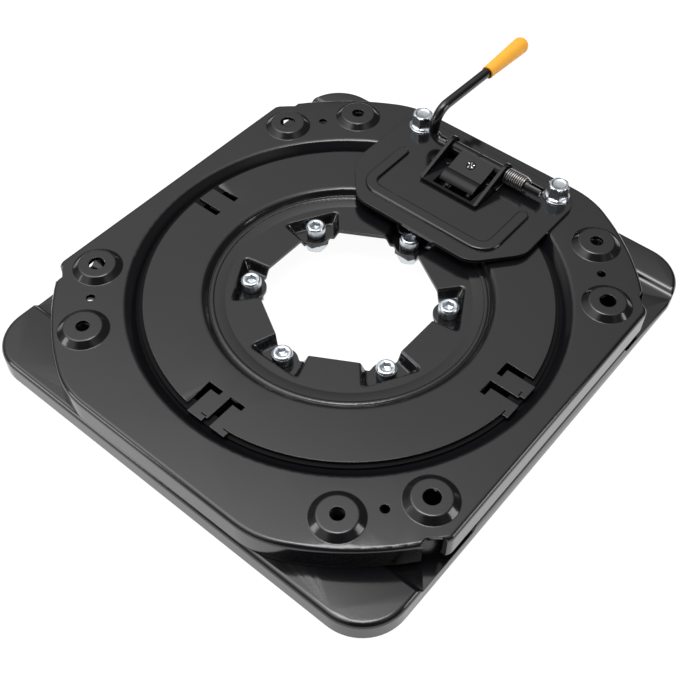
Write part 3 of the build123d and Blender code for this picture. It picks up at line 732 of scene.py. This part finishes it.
def add_nuts():
    """The hub nuts, the flange bolts' nuts and the weld nuts, with a thread inside the open ones."""
    names = [f"hub_nut_{i}" for i in range(1, 7)] + ["flange_nut_1", "flange_nut_2"]
    names += [f"weld_nut_{i}" for i in range(1, 5)]
    for node in names:
        low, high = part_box(node)
        height = (high[2] - low[2]) / MM
        across = min(high[0] - low[0], high[1] - low[1]) < NUT_FLATS * MM + 1e-4
        turn = 0 if high[0] - low[0] < high[1] - low[1] else pi / 6
        seat = Vector((middle(node).x, middle(node).y, high[2]))
        placed = Matrix.Translation(seat) @ Matrix.Rotation(turn if across else 0, 4, "Z")
        parts = [(ring_body("nut", nut_body(height)), placed)]
        if node.startswith("weld"):
            start = Matrix.Translation(seat - Vector((0, 0, (height - 1.0) * MM)))
            parts.append((thread((height - 2.0) / THREAD_PITCH, THREAD_RADIUS + 0.45, 0.45), start))
        finish = "black_paint" if node.startswith("weld") else "zinc_steel"
        nut = joined(f"{node}_look", parts, FINISHES[finish])
        stands_for(nut, node)


def add_flange_bolts():
    """Hexagon bolts with a flange, a chamfered crown and a dished top."""
    corner = BOLT_FLATS / 2 / cos(pi / 6)
    face = BOLT_FLATS / 2
    top = BOLT_HEAD_HEIGHT
    rim = BOLT_FLANGE_RADIUS
    head = turned("bolt_head", [
        (0, rim - 0.5), (0.25, rim - 0.1), (0.6, rim), (1.0, rim - 0.15), (1.5, rim - 0.9),
        (BOLT_FLANGE_HEIGHT - 0.5, corner + 0.5), (BOLT_FLANGE_HEIGHT, corner, BOLT_FLATS),
        (top - 1.5, corner, BOLT_FLATS), (top - 1.0, corner - 0.25, BOLT_FLATS),
        (top - 0.4, corner - 0.8, BOLT_FLATS), (top, face - 0.35, BOLT_FLATS), (top, face - 1.5),
        (top - 0.6, face - 2.2), (top - 0.8, face - 3.2), (top - 0.8, 0.5),
    ])
    for number in (1, 2):
        node = f"flange_bolt_{number}"
        low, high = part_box(node)
        seat = Vector((middle(node).x, middle(node).y, high[2] - BOLT_HEAD_HEIGHT * MM))
        length = (seat.z - low[2]) / MM
        placed = Matrix.Translation(seat) @ Matrix.Rotation(0.35 * number, 4, "Z")
        thread_placed = Matrix.Translation(seat - Vector((0, 0, (length - 1.0) * MM)))
        bolt = joined(f"{node}_look", [
            (head, placed), (shank(length), placed),
            (thread((length - 2.0) / THREAD_PITCH), thread_placed),
        ], FINISHES["zinc_steel"])
        stands_for(bolt, node)


# Latch
def rod_axis():
    """The lever's axis, as its Y and Z in metres."""
    joint = next(j for j in frame["record"]["behaviour"]["joints"] if j["name"] == "lever_rock")
    return joint["pos_m"][1], joint["pos_m"][2]


def rounded(points, passes=3):
    """A route with its corners worn round, its ends kept."""
    for _ in range(passes):
        worn = [points[0]]
        for first, second in zip(points, points[1:]):
            worn += [first.lerp(second, 0.25), first.lerp(second, 0.75)]
        points = worn + [points[-1]]
    return points


def add_spring():
    """The torsion spring: a foot on the lock plate, coils, and a tail that moves with the rod's slot."""
    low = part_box("torsion_spring")[0]
    rod_y, rod_z = rod_axis()
    wire = SPRING_WIRE_RADIUS * MM
    radius = SPRING_RADIUS * MM - wire
    start = low[0] + wire
    end = start + SPRING_LENGTH * MM - 2 * wire
    coil = []
    steps = int(SPRING_TURNS * STEPS_A_TURN)
    for step in range(steps + 1):
        angle = -pi / 2 - 2 * pi * SPRING_TURNS * step / steps
        x = start + (end - start) * step / steps
        coil.append(Vector((x, rod_y + radius * cos(angle), rod_z + radius * sin(angle))))
    foot = rounded([
        coil[0] + Vector((0, -SPRING_FOOT * MM, -0.6 * MM)), coil[0] + Vector((0, -3 * MM, 0)), coil[0],
    ])
    far = coil[-1]
    crossing = far.x + SPRING_CROSSING * MM
    tail = rounded([
        far, far + Vector((0, 2.5 * MM, 0)), Vector((crossing, rod_y, far.z)),
        Vector((crossing, rod_y, rod_z)), Vector((crossing, rod_y, rod_z - radius)),
    ])
    mesh = grown(WIRE_TREE, "spring", {"Wire Radius": wire}, foot[:-1] + coil)
    spring = joined("torsion_spring_look", [(mesh, Matrix())], FINISHES["spring_steel"])
    stands_for(spring, "torsion_spring")
    tail_mesh = grown(WIRE_TREE, "spring_tail", {"Wire Radius": wire}, tail)
    tail_piece = joined("spring_tail", [(tail_mesh, Matrix())], FINISHES["spring_steel"])
    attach(tail_piece, "lever")


def split_end(length, radius, slot, sides=24):
    """The rod's sawn end, from 0 along X: two halves with a slot between them."""
    points, faces = [], []
    tilt = atan2(slot / 2, (radius**2 - slot**2 / 4) ** 0.5)
    for half in (0, pi):
        first = len(points)
        for x in (0, length):
            for step in range(sides + 1):
                angle = half - pi / 2 + tilt + (pi - 2 * tilt) * step / sides
                points.append((x * MM, radius * cos(angle) * MM, radius * sin(angle) * MM))
        ring = sides + 1
        for step in range(ring):
            after = (step + 1) % ring
            faces.append((first + step, first + after, first + after + ring, first + step + ring))
        faces += [tuple(range(first, first + ring)), tuple(range(first + ring, first + 2 * ring))]
    mesh = bpy.data.meshes.new("split_end")
    mesh.from_pydata(points, [], faces)
    return mesh


def add_lever_rod():
    """The rod through both ears, its two bends and the arm up to the grip."""
    rod_y, rod_z = rod_axis()
    arm_z = middle("lever_grip").z
    arm_x = middle("lever_grip").x
    far_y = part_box("lever_grip")[0][1] + ROD_IN_GRIP * MM
    foot = Vector((ROD_FOOT_X * MM, rod_y, rod_z))
    knee = Vector(((ROD_FOOT_X + RISER_LEAN) * MM, rod_y, arm_z))
    start = Vector(((ROD_END_X - ROD_SLOT) * MM, rod_y, rod_z))
    end = Vector((arm_x, far_y, arm_z))
    route = [start]
    bends = ((start, foot, knee, ROD_FOOT_BEND), (foot, knee, end, ROD_TOP_BEND))
    for before, corner, after, bend in bends:
        back = (before - corner).normalized() * bend * MM
        ahead = (after - corner).normalized() * bend * MM
        for step in range(17):
            turn = step / 16 * pi / 2
            route.append(corner + back * (1 - sin(turn)) + ahead * (1 - cos(turn)))
    route.append(end)
    mesh = grown(WIRE_TREE, "rod", {"Wire Radius": ROD_RADIUS * MM}, route)
    tip = split_end(ROD_SLOT, ROD_RADIUS, ROD_SLOT_WIDTH)
    parts = [(mesh, Matrix()), (tip, Matrix.Translation(start))]
    rod = joined("lever_rod_look", parts, FINISHES["black_paint"])
    stands_for(rod, "lever_rod")


def add_latch_stake():
    """The staked rivet on the latch sheet, punched crosswise and worn bright."""
    rod_y, rod_z = rod_axis()
    radius = STAKE_RADIUS
    head = turned("stake", [
        (-0.6, radius - 0.3), (0.2, radius), (0.6, radius - 0.2), (0.9, radius - 0.9), (0.9, radius - 1.4),
        (0.5, radius - 1.9), (0.55, 1.3), (1.0, 0.9), (1.05, 0.3),
    ], 48)
    height = rod_z + LATCH_ABOVE_ROD * MM - (rod_y - STAKE_Y * MM) * LATCH_FALL
    placed = Matrix.Translation((0.0, STAKE_Y * MM, height)) @ Matrix.Rotation(LATCH_SLOPE, 4, "X")
    # The stake wears the latch's less shiny copy of the black paint, which is painted shade.
    stake = joined("latch_stake", [(head, placed)], FINISHES["shaded_latch_paint"])
    marks = []
    for angle, reach, size in PUNCH_MARKS:
        mark = turned("punch_mark", [(0.3, 0.75 * size), (1.0, 0.6 * size), (1.12, 0.3 * size)], 12)
        turn = Matrix.Rotation(radians(angle), 4, "Z") @ Matrix.Translation((reach * MM, 0, 0))
        marks.append((mark, placed @ turn @ Matrix.Diagonal((1.6, 0.7, 1, 1))))
    worn = joined("stake_marks", marks, FINISHES["zinc_steel"])
    for piece in (stake, worn):
        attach(piece, "lever")


def add_rod_collar():
    """The lumpy weld that holds a collar on the rod, outside the left ear."""
    rod_y, rod_z = rod_axis()
    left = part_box("latch_bracket")[0][0]
    around = 64
    ring = 14
    points = []
    for step in range(around):
        angle = 2 * pi * step / around
        lump = 1 + 0.12 * sin(7 * angle) + 0.07 * sin(13 * angle + 1.2)
        for turn in range(ring):
            tilt = 2 * pi * turn / ring
            reach = (COLLAR_RADIUS + 1.5 * lump * cos(tilt)) * MM
            x = left - (2.0 + 1.5 * lump * sin(tilt)) * MM
            points.append((x, rod_y + reach * cos(angle), rod_z + reach * sin(angle)))
    faces = []
    for step in range(around):
        for turn in range(ring):
            along = (step + 1) % around * ring
            up = (turn + 1) % ring
            faces.append((step * ring + turn, along + turn, along + up, step * ring + up))
    mesh = bpy.data.meshes.new("collar")
    mesh.from_pydata(points, [], faces)
    collar = joined("rod_collar", [(mesh, Matrix())], FINISHES["black_paint"])
    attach(collar, "lever")


# Floor and light
def add_floor():
    """A white table. What looks at it straight or in a reflection sees it almost shadowless."""
    material, nodes, links = new_material("white_table")
    shader = nodes["Principled BSDF"]
    shader.inputs["Roughness"].default_value = 0.9
    shader.inputs["Base Color"].default_value = (0.88, 0.88, 0.88, 1)
    glow = nodes.new("ShaderNodeEmission")
    glow.inputs["Color"].default_value = (1, 1, 1, 1)
    glow.inputs["Strength"].default_value = 1.12
    rays = nodes.new("ShaderNodeLightPath")
    seen = nodes.new("ShaderNodeMath")
    seen.operation = "MAXIMUM"
    links.new(rays.outputs["Is Camera Ray"], seen.inputs[0])
    links.new(rays.outputs["Is Glossy Ray"], seen.inputs[1])
    share = nodes.new("ShaderNodeMath")
    share.operation = "MULTIPLY"
    share.inputs[1].default_value = 0.85
    links.new(seen.outputs["Value"], share.inputs[0])
    mix = nodes.new("ShaderNodeMixShader")
    links.new(share.outputs["Value"], mix.inputs[0])
    links.new(shader.outputs["BSDF"], mix.inputs[1])
    links.new(glow.outputs["Emission"], mix.inputs[2])
    links.new(mix.outputs["Shader"], nodes["Material Output"].inputs["Surface"])
    size = 6.0
    mesh = bpy.data.meshes.new("floor")
    corners = [(-size, -size, 0), (size, -size, 0), (size, size, 0), (-size, size, 0)]
    mesh.from_pydata(corners, [], [(0, 1, 2, 3)])
    mesh.materials.append(material)
    floor = bpy.data.objects.new("floor", mesh)
    floor.location.z = -0.0005
    scene.collection.objects.link(floor)


def add_lamp(name, place, power):
    """A square softbox that faces the middle of the base."""
    data = bpy.data.lights.new(name, "AREA")
    data.shape = "SQUARE"
    data.size = SOFTBOX_WIDTH
    data.energy = power
    lamp = bpy.data.objects.new(name, data)
    lamp.location = place
    lamp.rotation_euler = (MIDDLE - Vector(place)).to_track_quat("-Z", "Y").to_euler()
    scene.collection.objects.link(lamp)


def dot_with(nodes, links, direction, axis):
    """The cosine of the angle between a direction and an axis."""
    node = nodes.new("ShaderNodeVectorMath")
    node.operation = "DOT_PRODUCT"
    links.new(direction, node.inputs[0])
    node.inputs[1].default_value = axis
    return node.outputs["Value"]


def add_world():
    """A white studio: bright above, dark near the horizon and where the photographer stands."""
    world = bpy.data.worlds.new("studio")
    world.use_nodes = True
    nodes, links = world.node_tree.nodes, world.node_tree.links
    direction = nodes.new("ShaderNodeTexCoord").outputs["Generated"]
    overhead = dot_with(nodes, links, direction, OVERHEAD)
    ramp = nodes.new("ShaderNodeValToRGB")
    links.new(overhead, ramp.inputs["Fac"])
    for place, strength in SKY[1:-1]:
        ramp.color_ramp.elements.new(place)
    for element, (place, strength) in zip(ramp.color_ramp.elements, SKY):
        element.position = place
        element.color = (strength / SKY_PEAK,) * 3 + (1,)
    ceiling = nodes.new("ShaderNodeMath")
    ceiling.operation = "MULTIPLY"
    ceiling.inputs[1].default_value = SKY_PEAK
    links.new(ramp.outputs["Color"], ceiling.inputs[0])
    towards = dot_with(nodes, links, direction, CAMERA_PLACE.normalized())
    gap = spread(nodes, links, towards, 1.0, 0.1, 0.84, 0.95)
    light = nodes.new("ShaderNodeMath")
    light.operation = "MULTIPLY"
    links.new(ceiling.outputs["Value"], light.inputs[0])
    links.new(gap, light.inputs[1])
    rays = nodes.new("ShaderNodeLightPath")
    strength = nodes.new("ShaderNodeMix")
    links.new(rays.outputs["Is Camera Ray"], strength.inputs["Factor"])
    links.new(light.outputs["Value"], strength.inputs["A"])
    strength.inputs["B"].default_value = 1.0
    background = nodes["Background"]
    background.inputs["Color"].default_value = (1, 1, 1, 1)
    links.new(strength.outputs["Result"], background.inputs["Strength"])
    scene.world = world


def add_light():
    add_world()
    add_lamp("left_softbox", (-0.78, -1.09, 0.43), SIDE_POWER)
    add_lamp("top_softbox", (0, 0, 1.4), TOP_POWER)
    add_lamp("right_softbox", (1.24, 0.51, 0.45), SIDE_POWER)


THREAD_TREE = thread_tree(FINISHES["zinc_steel"])
KNURL_TREE = knurl_tree(FINISHES["zinc_steel"])
WIRE_TREE = wire_tree(FINISHES["spring_steel"])
add_camera()
paint_nodes()
add_upper_plate()
add_slot_disc()
add_lower_plate()
add_hub_screws()
add_nuts()
add_flange_bolts()
add_spring()
add_lever_rod()
add_latch_stake()
add_rod_collar()
add_floor()
add_light()
scene.view_settings.view_transform = "Standard"
